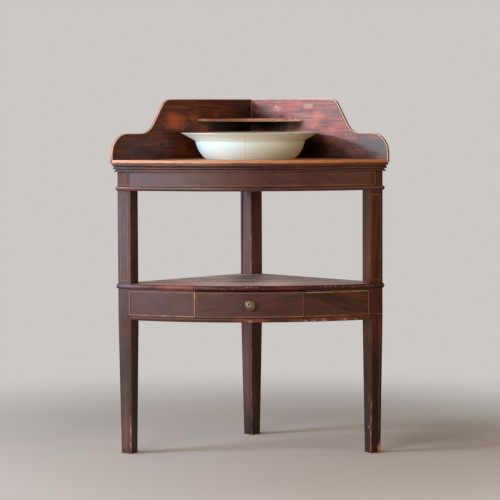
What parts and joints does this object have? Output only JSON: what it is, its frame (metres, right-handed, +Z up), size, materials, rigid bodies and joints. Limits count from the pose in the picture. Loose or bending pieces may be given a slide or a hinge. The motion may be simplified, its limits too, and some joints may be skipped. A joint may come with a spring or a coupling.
{
  "type": "corner washstand",
  "caption": "Bow-fronted mahogany corner washstand: gallery back, soap shelf, wide-rimmed basin in a round hole, open bay, lower shelf with drawer, tapered square legs.",
  "frame": {"origin": "centre of the bottom of the whole stand's box, on the floor", "axes": "+Z up, the bowed front with the drawer faces -Y, the wall corner points along +Y"},
  "size_m": [0.8004, 0.522, 1.0215],
  "materials": {
    "mahogany": "old french-polished mahogany, satin",
    "red_mahogany": "redder mahogany, satin",
    "worn_mahogany": "mahogany with edges worn to bare wood",
    "secondary_wood": "unpolished oak and pine",
    "aged_brass": "tarnished brass",
    "iron": "dark iron",
    "earthenware": "white glaze with a faint hairline crack"
  },
  "bodies": {
    "stand": {"back_leg": "mahogany", "right_front_leg": "mahogany", "left_front_leg": "mahogany", "frieze": "mahogany", "frieze_bead": "mahogany", "top_moulding": "mahogany", "right_upper_rail": "mahogany", "left_upper_rail": "mahogany", "right_lower_rail": "mahogany", "left_lower_rail": "mahogany", "right_upper_block_1": "secondary_wood", "left_upper_block_1": "secondary_wood", "right_upper_block_2": "secondary_wood", "left_upper_block_2": "secondary_wood", "right_upper_block_3": "secondary_wood", "left_upper_block_3": "secondary_wood", "basin_board": "worn_mahogany", "right_gallery": "red_mahogany", "left_gallery": "red_mahogany", "right_gallery_nail_1": "iron", "left_gallery_nail_1": "iron", "right_gallery_nail_2": "iron", "left_gallery_nail_2": "iron", "right_gallery_nail_3": "iron", "left_gallery_nail_3": "iron", "soap_shelf": "worn_mahogany", "lower_shelf": "mahogany", "shelf_nosing": "red_mahogany", "right_apron_panel": "red_mahogany", "left_apron_panel": "red_mahogany", "apron_rail": "mahogany", "apron_bead": "red_mahogany", "right_lower_block_1": "secondary_wood", "left_lower_block_1": "secondary_wood", "right_lower_block_2": "secondary_wood", "left_lower_block_2": "secondary_wood", "right_drawer_runner": "secondary_wood", "left_drawer_runner": "secondary_wood", "right_drawer_guide": "secondary_wood", "left_drawer_guide": "secondary_wood", "right_drawer_kicker": "secondary_wood", "left_drawer_kicker": "secondary_wood", "right_drawer_stop": "secondary_wood", "left_drawer_stop": "secondary_wood"},
    "drawer": {"drawer_front": "red_mahogany", "right_drawer_side": "secondary_wood", "left_drawer_side": "secondary_wood", "drawer_back": "secondary_wood", "drawer_bottom": "secondary_wood", "drawer_knob": "aged_brass", "knob_screw": "iron"},
    "basin": {"basin": "earthenware"}
  },
  "joints": [
    {"name": "drawer_slide", "type": "slide", "parent": "stand", "child": "drawer", "axis": [0, -1, 0], "range_m": [0, 0.24]},
    {"name": "basin_lift", "type": "slide", "parent": "stand", "child": "basin", "axis": [0, 0, 1], "range_m": [0, 0.025]}
  ]
}
